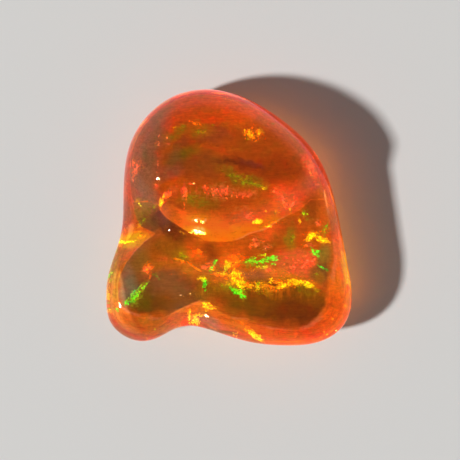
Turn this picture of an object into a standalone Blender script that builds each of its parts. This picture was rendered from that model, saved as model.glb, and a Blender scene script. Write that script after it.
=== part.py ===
"""A polished free-form fire opal, one solid stone that lies on its flat underside.

Metres, +Z up. The origin is at the middle of the stone's box, on the plane it rests on.
Seen from above, a domed part fills the rounded end, and a low edge steps down from it to a
shelf with a lobe at its lower left corner. Two notches in the outline run inwards as grooves.
"""

import math

import bmesh
import bpy
import numpy as np

MM = 0.001

# Heights over the resting plane, in millimetres
SHELF_HEIGHT = 4.6
GIRDLE_HEIGHT = 2.4
GIRDLE_WAVE = 0.25
GIRDLE_WAVE_TURN = math.radians(35)

# How full the shoulder is: 2 is an ellipse, and more stays flat until nearer the rim
SHOULDER_FULLNESS = 4.2
SHOULDER_FULLNESS_WAVE = 1.2
FULLEST_SHOULDER_TURN = math.radians(100)

# The flat patch underneath, as a share of the way from the middle to the outline
FLAT_SHARE = 0.68
FLAT_SHARE_WAVE = 0.05

# Inner contours lose the outline's two notches and turn into an oval, in millimetres
UPPER_MIDDLE = (0.2, 1.6)
UNDER_MIDDLE = (-0.3, -0.6)
OVAL_RADII = (6.6, 7.2)
OVAL_UNTIL = 0.25

# The widest contour seen from above, clockwise from the top, in millimetres
OUTLINE = (
    (-1.24, 8.00),
    (1.08, 7.44),
    (3.15, 6.22),
    (4.84, 4.74),
    (5.90, 3.18),
    (6.53, 1.42),
    (7.03, -0.83),
    (7.47, -3.15),
    (7.69, -5.03),
    (7.41, -6.34),
    (6.59, -7.31),
    (5.28, -7.87),
    (3.52, -8.00),
    (1.58, -7.84),
    (-0.17, -7.37),
    (-1.49, -6.94),
    (-2.55, -6.78),
    (-3.43, -7.00),
    (-4.31, -7.47),
    (-5.43, -7.75),
    (-6.56, -7.42),
    (-7.44, -6.53),
    (-7.69, -5.15),
    (-7.59, -3.71),
    (-7.12, -2.18),
    (-6.75, -0.89),
    (-6.62, 0.80),
    (-6.56, 2.61),
    (-6.12, 4.74),
    (-5.12, 6.34),
    (-3.43, 7.59),
)
CURVE_STEPS = 48

# The dome's lower edge is two half parabolas that meet at its lowest place
DOME_EDGE_LOWEST = (-1.1, -1.46)
DOME_EDGE_BEND_LEFT = 0.09
DOME_EDGE_BEND_RIGHT = 0.062
DOME_EDGE_WIDTH = 2.0
DOME_RISE = 0.75

# Swellings of the upper face: middle x, y, radius along x, along y, height
SWELLINGS = (
    (0.2, 3.4, 4.4, 3.6, 0.60),
    (3.4, -4.4, 3.4, 2.4, 0.30),
    (-5.4, -5.0, 1.9, 1.9, 0.35),
)

# Grooves worn in from the notches: from x, y to x, y, where they end, half width, depth
GROOVES = (
    (-7.6, -2.1, -3.2, 0.2, 0.9, 0.90),
    (-2.6, -7.4, -2.0, -4.0, 1.2, 0.90),
)

# Points round the outline, and rings up to the middle and down to the flat patch
AROUND = 96
UPPER_RINGS = 24
UNDER_RINGS = 7

# A ring's points are halved in number once for each of these shares that it lies within
HALVED_WITHIN = (0.42, 0.22, 0.10)

BODY_COLOUR = (0.86, 0.21, 0.02, 1.0)
BODY_ROUGHNESS = 0.04
BODY_IOR = 1.44
BODY_TRANSMISSION = 0.8


def closed_curve(points, steps):
    """A smooth closed curve through the points, by a periodic cubic spline over chord length."""
    knots = np.array(points)
    following = np.roll(knots, -1, axis=0)
    spans = np.linalg.norm(following - knots, axis=1)
    before = np.roll(spans, 1)
    count = len(knots)
    system = np.zeros((count, count))
    for i in range(count):
        system[i, i - 1] += before[i]
        system[i, i] += 2 * (before[i] + spans[i])
        system[i, (i + 1) % count] += spans[i]
    slopes = (following - knots) / spans[:, None]
    bends = np.linalg.solve(system, 6 * (slopes - np.roll(slopes, 1, axis=0)))
    curve = []
    for i in range(count):
        bend, next_bend = bends[i], bends[(i + 1) % count]
        for t in np.arange(steps) / steps:
            far, near = t * spans[i], (1 - t) * spans[i]
            cubic = (bend * near**3 + next_bend * far**3) / (6 * spans[i])
            start = knots[i] / spans[i] - bend * spans[i] / 6
            end = following[i] / spans[i] - next_bend * spans[i] / 6
            curve.append(cubic + start * near + end * far)
    return np.array(curve)


def even_outline(count):
    """The outline as points an equal way apart."""
    curve = closed_curve(OUTLINE, CURVE_STEPS)
    closed = np.vstack([curve, curve[:1]])
    steps = np.linalg.norm(np.diff(closed, axis=0), axis=1)
    way = np.concatenate([[0], np.cumsum(steps)])
    at = np.arange(count) / count * way[-1]
    x = np.interp(at, way, closed[:, 0])
    y = np.interp(at, way, closed[:, 1])
    return np.stack([x, y], axis=1)


def smooth_step(values, low, high):
    t = np.clip((values - low) / (high - low), 0, 1)
    return t * t * (3 - 2 * t)


def upper_face(x, y):
    """The height that the middle of the upper face would have at each place."""
    lowest_x, lowest_y = DOME_EDGE_LOWEST
    bend = np.where(x < lowest_x, DOME_EDGE_BEND_LEFT, DOME_EDGE_BEND_RIGHT)
    edge_y = lowest_y + bend * (x - lowest_x) ** 2
    slope = 2 * bend * (x - lowest_x)
    inside = (y - edge_y) / np.sqrt(1 + slope**2)
    height = SHELF_HEIGHT + DOME_RISE * smooth_step(inside, 0, DOME_EDGE_WIDTH)
    for at_x, at_y, across, along, rise in SWELLINGS:
        height += rise * np.exp(-(((x - at_x) / across) ** 2) - ((y - at_y) / along) ** 2)
    for from_x, from_y, to_x, to_y, half_width, depth in GROOVES:
        run_x, run_y = to_x - from_x, to_y - from_y
        length = math.hypot(run_x, run_y)
        along = ((x - from_x) * run_x + (y - from_y) * run_y) / length**2
        off = ((x - from_x) * run_y - (y - from_y) * run_x) / length
        height -= depth * np.exp(-((off / half_width) ** 2)) * (1 - smooth_step(along, 0.2, 1))
    return height


def girdle_heights(outline):
    turn = np.arctan2(outline[:, 1], outline[:, 0]) - GIRDLE_WAVE_TURN
    return GIRDLE_HEIGHT + GIRDLE_WAVE * np.cos(turn)


def contour(outline, middle, share):
    """The contour that lies a share of the way from the middle to the outline."""
    outwards = outline - np.array(middle)
    directions = outwards / np.linalg.norm(outwards, axis=1)[:, None]
    oval = directions / np.linalg.norm(directions / OVAL_RADII, axis=1)[:, None]
    notched = smooth_step(share, OVAL_UNTIL, 1)[:, None]
    return middle + share[:, None] * ((1 - notched) * oval + notched * outwards)


def upper_ring(outline, outwards):
    """A ring of the upper side, with outwards 0 in its middle and 1 at the girdle."""
    reach = math.sin(outwards * math.pi / 2)
    halvings = sum(reach < limit for limit in HALVED_WITHIN)
    outline = outline[:: 2**halvings]
    turn = np.arctan2(outline[:, 1], outline[:, 0]) - FULLEST_SHOULDER_TURN
    fullness = SHOULDER_FULLNESS + SHOULDER_FULLNESS_WAVE * np.cos(turn)
    share = np.full(len(outline), reach)
    level = np.sqrt(1 - share**fullness)
    place = contour(outline, UPPER_MIDDLE, share)
    girdle = girdle_heights(outline)
    return np.column_stack([place, girdle + (upper_face(*place.T) - girdle) * level])


def under_ring(outline, inwards):
    """A ring of the underside, with inwards 0 at the girdle and 1 round the flat patch."""
    turn = np.arctan2(outline[:, 1], outline[:, 0])
    flat = FLAT_SHARE + FLAT_SHARE_WAVE * np.cos(2 * turn)
    share = flat + (1 - flat) * math.cos(inwards * math.pi / 2)
    height = girdle_heights(outline) * (1 - math.sin(inwards * math.pi / 2))
    return np.column_stack([contour(outline, UNDER_MIDDLE, share), height])


def opal_material():
    material = bpy.data.materials.new("fire_opal")
    material.use_nodes = True
    shader = material.node_tree.nodes["Principled BSDF"]
    shader.inputs["Base Color"].default_value = BODY_COLOUR
    shader.inputs["Roughness"].default_value = BODY_ROUGHNESS
    shader.inputs["Metallic"].default_value = 0.0
    shader.inputs["IOR"].default_value = BODY_IOR
    shader.inputs["Transmission Weight"].default_value = BODY_TRANSMISSION
    return material


def add_band(shape, inner, outer):
    """Faces between two closed rings, of which the outer may have twice as many points."""
    ratio = len(outer) // len(inner)
    for i, corner in enumerate(inner):
        after = inner[(i + 1) % len(inner)]
        along = [outer[(ratio * i + k) % len(outer)] for k in range(ratio + 1)]
        shape.faces.new((after, corner, along[ratio // 2]))
        if ratio == 2:
            shape.faces.new((corner, along[0], along[1]))
        shape.faces.new((after, along[-2], along[-1]))


def add_fan(shape, ring, middle):
    for i, corner in enumerate(ring):
        shape.faces.new((middle, corner, ring[(i + 1) % len(ring)]))


def make_opal():
    outline = even_outline(AROUND)
    upper = [upper_ring(outline, i / UPPER_RINGS) for i in range(1, UPPER_RINGS + 1)]
    under = [under_ring(outline, i / UNDER_RINGS) for i in range(1, UNDER_RINGS + 1)]
    top_height = float(upper_face(*np.array(UPPER_MIDDLE)))
    shape = bmesh.new()
    rings = [[shape.verts.new(place) for place in ring * MM] for ring in upper + under]
    for inner, outer in zip(rings, rings[1:]):
        add_band(shape, inner, outer)
    add_fan(shape, rings[0], shape.verts.new(np.array((*UPPER_MIDDLE, top_height)) * MM))
    add_fan(shape, rings[-1], shape.verts.new(np.array((*UNDER_MIDDLE, 0.0)) * MM))
    bmesh.ops.recalc_face_normals(shape, faces=shape.faces)
    mesh = bpy.data.meshes.new("opal")
    shape.to_mesh(mesh)
    shape.free()
    mesh.shade_smooth()
    mesh.materials.append(opal_material())
    opal = bpy.data.objects.new("opal", mesh)
    bpy.context.scene.collection.objects.link(opal)


def main():
    for old in list(bpy.data.objects):
        bpy.data.objects.remove(old)
    make_opal()


main()
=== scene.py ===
"""The looks of a polished free-form fire opal, lying on a plain pale floor.

The stone's surface repeats the solid's own rule at a finer step, so it fills the same box.
Slight swellings, a hand polish and glowing flakes are added to it; the flakes' glow is painted
light for the play of colour, and pale ones are painted highlights of the lamp's glints. Lengths
are in millimetres and become metres where a mesh or an object is made.
"""

import math

import bpy
import numpy as np
from mathutils import Euler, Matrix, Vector
from mathutils.bvhtree import BVHTree
from mathutils.kdtree import KDTree
from mathutils.noise import noise_vector, seed_set


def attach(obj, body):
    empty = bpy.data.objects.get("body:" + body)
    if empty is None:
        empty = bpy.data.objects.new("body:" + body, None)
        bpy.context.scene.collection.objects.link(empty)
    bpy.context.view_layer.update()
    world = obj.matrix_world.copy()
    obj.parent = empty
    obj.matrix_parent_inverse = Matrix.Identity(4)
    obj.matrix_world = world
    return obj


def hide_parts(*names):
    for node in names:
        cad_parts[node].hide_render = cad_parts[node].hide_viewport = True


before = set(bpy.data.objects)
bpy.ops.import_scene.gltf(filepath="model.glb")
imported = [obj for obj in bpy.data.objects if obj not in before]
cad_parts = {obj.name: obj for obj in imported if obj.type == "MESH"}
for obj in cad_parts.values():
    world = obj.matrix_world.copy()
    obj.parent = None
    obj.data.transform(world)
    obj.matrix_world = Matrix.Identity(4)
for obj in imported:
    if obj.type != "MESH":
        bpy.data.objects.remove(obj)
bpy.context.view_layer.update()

MM = 0.001

# Blender's own noise starts from the clock unless it is given a seed
NOISE_SEED = 5

# Heights over the resting plane
SHELF_HEIGHT = 4.6
GIRDLE_HEIGHT = 2.4
GIRDLE_WAVE = 0.25
GIRDLE_WAVE_TURN = math.radians(35)

# How full the shoulder is: 2 is an ellipse, and more stays flat until nearer the rim
SHOULDER_FULLNESS = 4.2
SHOULDER_FULLNESS_WAVE = 1.2
FULLEST_SHOULDER_TURN = math.radians(100)

# The flat patch underneath, as a share of the way from the middle to the outline
FLAT_SHARE = 0.68
FLAT_SHARE_WAVE = 0.05

# Inner contours lose the outline's two notches and turn into an oval
UPPER_MIDDLE = (0.2, 1.6)
UNDER_MIDDLE = (-0.3, -0.6)
OVAL_RADII = (6.6, 7.2)
OVAL_UNTIL = 0.25

# The widest contour seen from above, clockwise from the top
OUTLINE = (
    (-1.24, 8.0), (1.08, 7.44), (3.15, 6.22), (4.84, 4.74),
    (5.9, 3.18), (6.53, 1.42), (7.03, -0.83), (7.47, -3.15),
    (7.69, -5.03), (7.41, -6.34), (6.59, -7.31), (5.28, -7.87),
    (3.52, -8.0), (1.58, -7.84), (-0.17, -7.37), (-1.49, -6.94),
    (-2.55, -6.78), (-3.43, -7.0), (-4.31, -7.47), (-5.43, -7.75),
    (-6.56, -7.42), (-7.44, -6.53), (-7.69, -5.15), (-7.59, -3.71),
    (-7.12, -2.18), (-6.75, -0.89), (-6.62, 0.8), (-6.56, 2.61),
    (-6.12, 4.74), (-5.12, 6.34), (-3.43, 7.59),
)
CURVE_STEPS = 48

# Slight swellings and falls that set where the lamp glints on the lobe and the dome's left flank:
# middle x, y, radius along x, along y, height
SLIGHT_SWELLINGS = (
    (-5.3, -4.6, 1.5, 1.6, -0.12),
    (-6.0, -4.4, 1.1, 1.4, -0.2),
    (-3.94, -0.2, 1.37, 0.5, 0.04),
    (-4.16, 2.5, 0.6, 0.6, 0.11),
    (-4.41, 1.51, 1.3, 0.69, -0.05),
    (-4.31, 0.21, 1.08, 1.33, -0.06),
    (-3.52, -0.97, 0.5, 1.25, 0.13),
)

# Slight waves of a hand polish. They and the slight swellings begin between two heights over the
# girdle
POLISH_WAVE = 0.015
POLISH_FINENESS = 0.9
POLISH_HEIGHTS = (0.2, 1.4)

# The dome's lower edge is two half parabolas that meet at its lowest place
DOME_EDGE_LOWEST = (-1.1, -1.46)
DOME_EDGE_BEND_LEFT = 0.09
DOME_EDGE_BEND_RIGHT = 0.062
DOME_EDGE_WIDTH = 2.0
DOME_RISE = 0.75

# Swellings of the upper face: middle x, y, radius along x, along y, height
SWELLINGS = (
    (0.2, 3.4, 4.4, 3.6, 0.6),
    (3.4, -4.4, 3.4, 2.4, 0.3),
    (-5.4, -5.0, 1.9, 1.9, 0.35),
)

# Grooves worn in from the notches: from x, y to x, y, where they end, half width, depth. Each is
# full over the first share of its way
GROOVES = (
    (-7.6, -2.1, -3.2, 0.2, 0.9, 0.9),
    (-2.6, -7.4, -2.0, -4.0, 1.2, 0.9),
)
GROOVE_FULL_SHARE = 0.2

# Points round the outline, and rings up to the middle and down to the flat patch
AROUND = 384
UPPER_RINGS = 96
UNDER_RINGS = 30

# A ring's points are halved in number once for each of these shares that it lies within
HALVED_WITHIN = (0.42, 0.22, 0.1)

# The camera looks straight down; the photograph's frame is this wide on the girdle's plane
FRAME_WIDTH = 28.8
LENS = 100.0
SENSOR = 36.0
CAMERA_RISE = FRAME_WIDTH * LENS / SENSOR
CAMERA_PLACE = (0.08, -0.77, GIRDLE_HEIGHT + CAMERA_RISE)

# The floor, and the gap that keeps it clear of the stone's flat patch
FLOOR_GAP = 0.02
FLOOR_HALF = 600.0
FLOOR_COLOUR = (0.68, 0.672, 0.655, 1.0)

# The surroundings' light is dimmer overhead, so that the stone's top isn't veiled by it
SURROUNDINGS_COLOUR = (1.0, 1.0, 1.0, 1.0)
ZENITH_LIGHT = 0.10
HORIZON_LIGHT = 0.74
HORIZON_NARROWNESS = 3.0

# The lamp: its turn seen from above, with 0 at +X and 90 at +Y, its height in degrees over the
# floor, how far off it is, the side of its square, and its power
LAMP_TURN = 198
LAMP_ELEVATION = 39
LAMP_DISTANCE = 3000
LAMP_SIZE = 217
LAMP_POWER = 108


def closed_curve(points, steps):
    """A smooth closed curve through the points, by a periodic cubic spline over chord length."""
    knots = np.array(points)
    following = np.roll(knots, -1, axis=0)
    spans = np.linalg.norm(following - knots, axis=1)
    before = np.roll(spans, 1)
    count = len(knots)
    system = np.zeros((count, count))
    for i in range(count):
        system[i, i - 1] += before[i]
        system[i, i] += 2 * (before[i] + spans[i])
        system[i, (i + 1) % count] += spans[i]
    slopes = (following - knots) / spans[:, None]
    bends = np.linalg.solve(system, 6 * (slopes - np.roll(slopes, 1, axis=0)))
    curve = []
    for i in range(count):
        bend, next_bend = bends[i], bends[(i + 1) % count]
        for t in np.arange(steps) / steps:
            far, near = t * spans[i], (1 - t) * spans[i]
            cubic = (bend * near**3 + next_bend * far**3) / (6 * spans[i])
            start = knots[i] / spans[i] - bend * spans[i] / 6
            end = following[i] / spans[i] - next_bend * spans[i] / 6
            curve.append(cubic + start * near + end * far)
    return np.array(curve)


def even_outline(count):
    """The outline as points an equal way apart."""
    curve = closed_curve(OUTLINE, CURVE_STEPS)
    closed = np.vstack([curve, curve[:1]])
    steps = np.linalg.norm(np.diff(closed, axis=0), axis=1)
    way = np.concatenate([[0], np.cumsum(steps)])
    at = np.arange(count) / count * way[-1]
    x = np.interp(at, way, closed[:, 0])
    y = np.interp(at, way, closed[:, 1])
    return np.stack([x, y], axis=1)


def smooth_step(values, low, high):
    """0 at low and 1 at high, eased at both ends."""
    t = np.clip((values - low) / (high - low), 0, 1)
    return t * t * (3 - 2 * t)


def inside_dome(x, y):
    """How far each place lies inside the dome's lower edge."""
    lowest_x, lowest_y = DOME_EDGE_LOWEST
    bend = np.where(x < lowest_x, DOME_EDGE_BEND_LEFT, DOME_EDGE_BEND_RIGHT)
    edge_y = lowest_y + bend * (x - lowest_x) ** 2
    slope = 2 * bend * (x - lowest_x)
    return (y - edge_y) / np.sqrt(1 + slope**2)


def swollen(height, x, y, swellings):
    """A height with smooth swellings and falls added to it."""
    for at_x, at_y, across, along, rise in swellings:
        height = height + rise * np.exp(-(((x - at_x) / across) ** 2) - ((y - at_y) / along) ** 2)
    return height


def upper_face(x, y):
    """The height that the middle of the upper face would have at each place."""
    height = SHELF_HEIGHT + DOME_RISE * smooth_step(inside_dome(x, y), 0, DOME_EDGE_WIDTH)
    height = swollen(height, x, y, SWELLINGS)
    for from_x, from_y, to_x, to_y, half_width, depth in GROOVES:
        run_x, run_y = to_x - from_x, to_y - from_y
        length = math.hypot(run_x, run_y)
        along = ((x - from_x) * run_x + (y - from_y) * run_y) / length**2
        off = ((x - from_x) * run_y - (y - from_y) * run_x) / length
        fading = 1 - smooth_step(along, GROOVE_FULL_SHARE, 1)
        height = height - depth * np.exp(-((off / half_width) ** 2)) * fading
    return height


def girdle_heights(outline):
    turn = np.arctan2(outline[:, 1], outline[:, 0]) - GIRDLE_WAVE_TURN
    return GIRDLE_HEIGHT + GIRDLE_WAVE * np.cos(turn)


def contour(outline, middle, share):
    """The contour that lies a share of the way from the middle to the outline."""
    outwards = outline - np.array(middle)
    directions = outwards / np.linalg.norm(outwards, axis=1)[:, None]
    oval = directions / np.linalg.norm(directions / OVAL_RADII, axis=1)[:, None]
    notched = smooth_step(share, OVAL_UNTIL, 1)[:, None]
    return middle + share[:, None] * ((1 - notched) * oval + notched * outwards)


def upper_ring(outline, outwards):
    """A ring of the upper side, with outwards 0 in its middle and 1 at the girdle."""
    reach = math.sin(outwards * math.pi / 2)
    halvings = sum(reach < limit for limit in HALVED_WITHIN)
    outline = outline[:: 2**halvings]
    turn = np.arctan2(outline[:, 1], outline[:, 0]) - FULLEST_SHOULDER_TURN
    fullness = SHOULDER_FULLNESS + SHOULDER_FULLNESS_WAVE * np.cos(turn)
    share = np.full(len(outline), reach)
    level = np.sqrt(1 - share**fullness)
    place = contour(outline, UPPER_MIDDLE, share)
    girdle = girdle_heights(outline)
    return np.column_stack([place, girdle + (upper_face(*place.T) - girdle) * level])


def under_ring(outline, inwards):
    """A ring of the underside, with inwards 0 at the girdle and 1 round the flat patch."""
    turn = np.arctan2(outline[:, 1], outline[:, 0])
    flat = FLAT_SHARE + FLAT_SHARE_WAVE * np.cos(2 * turn)
    share = flat + (1 - flat) * math.cos(inwards * math.pi / 2)
    height = girdle_heights(outline) * (1 - math.sin(inwards * math.pi / 2))
    return np.column_stack([contour(outline, UNDER_MIDDLE, share), height])


def band_faces(inner, outer):
    """Faces between two closed rings, of which the outer may have twice as many points."""
    ratio = len(outer) // len(inner)
    faces = []
    for i, corner in enumerate(inner):
        after = inner[(i + 1) % len(inner)]
        along = [outer[(ratio * i + k) % len(outer)] for k in range(ratio + 1)]
        faces.append((corner, after, along[ratio // 2]))
        if ratio == 2:
            faces.append((along[0], corner, along[1]))
        faces.append((along[-2], after, along[-1]))
    return faces


def fan_faces(ring, middle):
    return [(ring[i - 1], corner, middle) for i, corner in enumerate(ring)]


def add_piece(name, places, faces, material):
    """A mesh object from places in millimetres."""
    mesh = bpy.data.meshes.new(name)
    mesh.from_pydata((np.asarray(places) * MM).tolist(), [], faces)
    mesh.validate()
    mesh.materials.append(material)
    piece = bpy.data.objects.new(name, mesh)
    bpy.context.scene.collection.objects.link(piece)
    return piece


def polished(places):
    """The upper side with its slight swellings and the slight waves of a hand polish."""
    x, y, z = places.T
    waves = POLISH_WAVE * (pushed(places, POLISH_FINENESS, 1.0) - places)[:, 2]
    low, high = POLISH_HEIGHTS
    share = smooth_step(z, GIRDLE_HEIGHT + low, GIRDLE_HEIGHT + high)
    return np.column_stack([x, y, z + swollen(waves, x, y, SLIGHT_SWELLINGS) * share])


def make_stone(material):
    """The whole stone as one closed surface."""
    outline = even_outline(AROUND)
    upper = [upper_ring(outline, i / UPPER_RINGS) for i in range(1, UPPER_RINGS + 1)]
    under = [under_ring(outline, i / UNDER_RINGS) for i in range(1, UNDER_RINGS + 1)]
    top = (*UPPER_MIDDLE, float(upper_face(*np.array(UPPER_MIDDLE))))
    bottom = (*UNDER_MIDDLE, 0.0)
    places = polished(np.vstack(upper + under + [top, bottom]))
    starts = np.cumsum([0] + [len(ring) for ring in upper + under]).tolist()
    rings = [list(range(start, end)) for start, end in zip(starts, starts[1:])]
    faces = fan_faces(rings[0][::-1], len(places) - 2)
    for inner, outer in zip(rings, rings[1:]):
        faces += band_faces(inner, outer)
    faces += fan_faces(rings[-1], len(places) - 1)
    stone = add_piece("opal_stone", places, faces, material)
    stone.data.shade_smooth()
    return stone


def colour(seen):
    """A linear colour from the one that a screen shows, as a number of the form 0xRRGGBB."""
    shown = np.array([seen >> 16, seen >> 8 & 255, seen & 255]) / 255
    linear = np.where(shown <= 0.04045, shown / 12.92, ((shown + 0.055) / 1.055) ** 2.4)
    return (*linear.tolist(), 1.0)


class Graph:
    """Short calls that build the nodes of a material or of the surroundings."""

    def __init__(self, owner):
        owner.use_nodes = True
        self.owner = owner
        self.tree = owner.node_tree

    def feed(self, node, inputs):
        """Links a node's sockets, or sets them to plain values."""
        for key, value in inputs.items():
            if isinstance(value, bpy.types.NodeSocket):
                self.tree.links.new(value, node.inputs[key])
            else:
                node.inputs[key].default_value = value

    def shade(self, inputs):
        """Feeds the material's own shader."""
        self.feed(self.tree.nodes["Principled BSDF"], inputs)

    def node(self, kind, inputs=None, **settings):
        node = self.tree.nodes.new(kind)
        for key, value in settings.items():
            setattr(node, key, value)
        self.feed(node, inputs or {})
        return node

    def math(self, operation, first, second, third=0.0):
        inputs = {0: first, 1: second, 2: third}
        return self.node("ShaderNodeMath", inputs, operation=operation).outputs[0]

    def product(self, first, *others):
        for value in others:
            first = self.math("MULTIPLY", first, value)
        return first

    def mix(self, factor, first, second):
        inputs = {0: factor, 6: first, 7: second}
        return self.node("ShaderNodeMix", inputs, data_type="RGBA").outputs[2]

    def smooth_range(self, value, low, high):
        """0 at low and 1 at high, eased at both ends."""
        inputs = {"Value": value, "From Min": low, "From Max": high}
        node = self.node("ShaderNodeMapRange", inputs, interpolation_type="SMOOTHSTEP")
        return node.outputs[0]

    def between(self, value, low, high):
        """Takes a value that runs from 0 to 1 to the range from low to high."""
        inputs = {"Value": value, "To Min": low, "To Max": high}
        return self.node("ShaderNodeMapRange", inputs).outputs[0]

    def noise(self, vector, scale, detail, roughness=0.5, output="Fac"):
        inputs = {"Vector": vector, "Scale": scale, "Detail": detail, "Roughness": roughness}
        return self.node("ShaderNodeTexNoise", inputs).outputs[output]

    def times(self, vector, factors):
        """A place or a colour, each of its numbers multiplied by its own factor."""
        inputs = {0: vector, 1: factors}
        return self.node("ShaderNodeVectorMath", inputs, operation="MULTIPLY").outputs[0]

    def scaled(self, tint, factor):
        inputs = {0: tint, "Scale": factor}
        return self.node("ShaderNodeVectorMath", inputs, operation="SCALE").outputs[0]

    def places(self):
        """The place on the stone, in millimetres."""
        coordinates = self.node("ShaderNodeTexCoord").outputs["Object"]
        return self.times(coordinates, (1 / MM,) * 3)

    def attribute(self, name, output="Fac"):
        return self.node("ShaderNodeAttribute", attribute_name=name).outputs[output]

    def warped(self, vector, scale, amount):
        """The same places, pushed about by noise."""
        push = self.noise(vector, scale, 3.0, output="Color")
        centred = self.node("ShaderNodeVectorMath", {0: push, 1: (0.5,) * 3}, operation="SUBTRACT")
        pushes = {0: centred.outputs[0], 1: (amount,) * 3, 2: vector}
        return self.node("ShaderNodeVectorMath", pushes, operation="MULTIPLY_ADD").outputs[0]


# How wide the bright rim looks from above: turn round the middle in degrees, and width. The rim's
# colours are the stone's orange with painted light, the glow where light passes out through the rim
RIM_WIDTHS = (
    (-179, 0.9), (-175, 1.15), (-171, 1.7), (-167, 2.05),
    (-163, 1.45), (-157, 0.95), (-152, 0.74), (-147, 0.74),
    (-141, 0.92), (-136, 1.45), (-131, 1.66), (-127, 1.26),
    (-123, 0.97), (-118, 1.15), (-109, 1.57), (-99, 1.43),
    (-96, 1.27), (-91, 1.22), (-85, 1.28), (-78, 1.36),
    (-72, 1.16), (-62, 1.03), (-54, 1.2), (-43, 1.59),
    (-38, 1.54), (-30, 1.17), (-22, 0.75), (-4, 0.6),
    (9, 0.55), (22, 0.48), (37, 0.4), (70, 0.26),
    (90, 0.3), (138, 0.26), (155, 0.36), (168, 0.56),
)

# How soft the rim's inner edge is, by the same turn
RIM_EDGES = (
    (-80, 0.07), (-58, 0.13), (-40, 0.15), (-10, 0.18),
    (20, 0.12), (60, 0.09),
)

# The heights between which the rim begins
RIM_HEIGHTS = (0.2, 1.4)

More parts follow.
